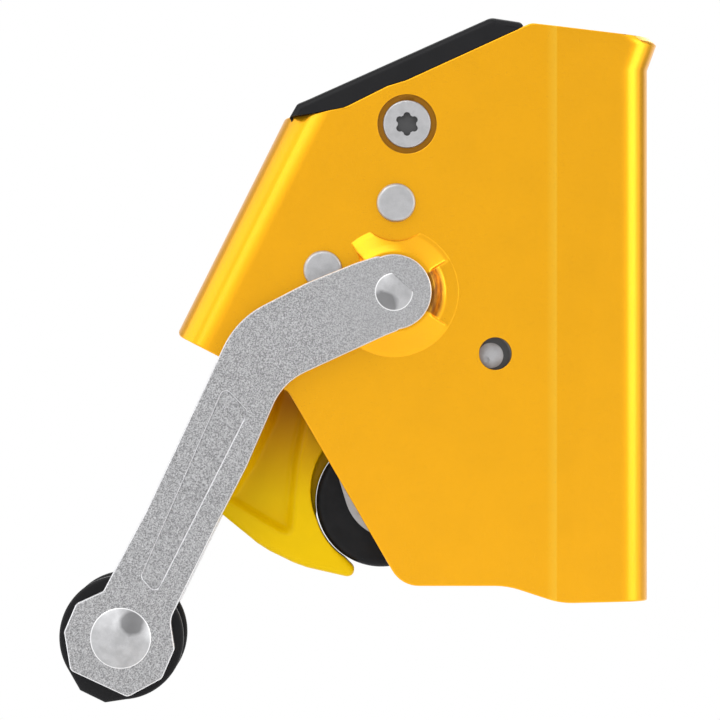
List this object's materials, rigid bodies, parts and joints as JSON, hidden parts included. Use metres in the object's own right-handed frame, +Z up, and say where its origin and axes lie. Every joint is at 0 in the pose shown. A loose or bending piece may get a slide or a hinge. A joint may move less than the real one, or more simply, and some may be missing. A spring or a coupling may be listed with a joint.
{
  "type": "mobile fall arrester",
  "caption": "Bent frame with a rope channel, a toothed locking wheel on a swinging lanyard arm, a sprung safety catch and a black top cover.",
  "frame": {"origin": "on the rope's axis, in the middle of the frame's depth, level with the wheel's window", "axes": "+Z up along the rope, +X from the arm towards the rope channel, +Y away from the side with the window"},
  "size_m": [0.1137, 0.0394, 0.13],
  "materials": {
    "orange_aluminium": "satin anodised, fine blast texture",
    "black_plastic": "moulded, fine sheen",
    "pin_steel": "turned, faintly mottled",
    "arm_steel": "tumbled, pebbled grain",
    "plain_steel": "machined",
    "spring_steel": "drawn wire",
    "bronze": "plain bearing bronze",
    "yellow_plastic": "moulded, soft gloss",
    "black_rubber": "smooth moulded"
  },
  "bodies": {
    "frame_body": {"frame": "orange_aluminium", "top_cover": "black_plastic", "cover_screw": "pin_steel", "cover_nut": "pin_steel", "upper_pin": "pin_steel", "upper_sleeve": "plain_steel", "lower_pin": "pin_steel", "lower_sleeve": "plain_steel", "return_spring": "spring_steel", "pivot_bushes": "bronze"},
    "arm_body": {"pivot_axle": "pin_steel", "near_arm": "arm_steel", "far_arm": "arm_steel", "end_axle": "pin_steel", "end_screw": "pin_steel", "end_sleeve": "plain_steel", "end_bush": "black_plastic", "near_cheek": "plain_steel", "far_cheek": "plain_steel", "stop_pin": "plain_steel", "wheel_axle": "pin_steel", "wheel_washer": "plain_steel", "clutch_ring": "plain_steel", "clutch_rivets": "plain_steel", "roller_axle": "plain_steel", "catch_pin": "plain_steel", "catch_spring": "spring_steel"},
    "wheel_body": {"locking_wheel": "plain_steel", "wheel_bearing": "bronze", "pawl_pins": "plain_steel", "garter_spring": "spring_steel"},
    "front_pawl_body": {"front_pawl": "plain_steel"},
    "rear_pawl_body": {"rear_pawl": "plain_steel"},
    "roller_body": {"buffer_roller": "black_rubber", "roller_hub": "bronze"},
    "catch_body": {"safety_catch": "yellow_plastic"}
  },
  "joints": [
    {"name": "arm_swing", "type": "hinge", "parent": "frame_body", "child": "arm_body", "pos_m": [-0.03939, 0, 0.01288], "axis": [0, 1, 0], "range_deg": [0, 28], "stiffness_Nm_per_rad": 0.15, "springref_deg": -40.11, "deforming": ["return_spring"]},
    {"name": "wheel_spin", "type": "hinge", "parent": "arm_body", "child": "wheel_body", "pos_m": [-0.0209, 0, 0.00085], "axis": [0, 1, 0], "continuous": true},
    {"name": "front_pawl_swing", "type": "hinge", "parent": "wheel_body", "child": "front_pawl_body", "pos_m": [-0.0135, 0, 0.00085], "axis": [0, 1, 0], "range_deg": [0, 7], "stiffness_Nm_per_rad": 0.002, "springref_deg": -17.19, "deforming": ["garter_spring"]},
    {"name": "rear_pawl_swing", "type": "hinge", "parent": "wheel_body", "child": "rear_pawl_body", "pos_m": [-0.0283, 0, 0.00085], "axis": [0, 1, 0], "range_deg": [0, 7], "stiffness_Nm_per_rad": 0.002, "springref_deg": -17.19},
    {"name": "roller_spin", "type": "hinge", "parent": "arm_body", "child": "roller_body", "pos_m": [-0.04173, 0, -0.02707], "axis": [0, 1, 0], "continuous": true},
    {"name": "catch_swing", "type": "hinge", "parent": "arm_body", "child": "catch_body", "pos_m": [-0.04967, 0, -0.00947], "axis": [0, 1, 0], "range_deg": [0, 8], "stiffness_Nm_per_rad": 0.03, "springref_deg": -28.65, "deforming": ["catch_spring"]}
  ]
}
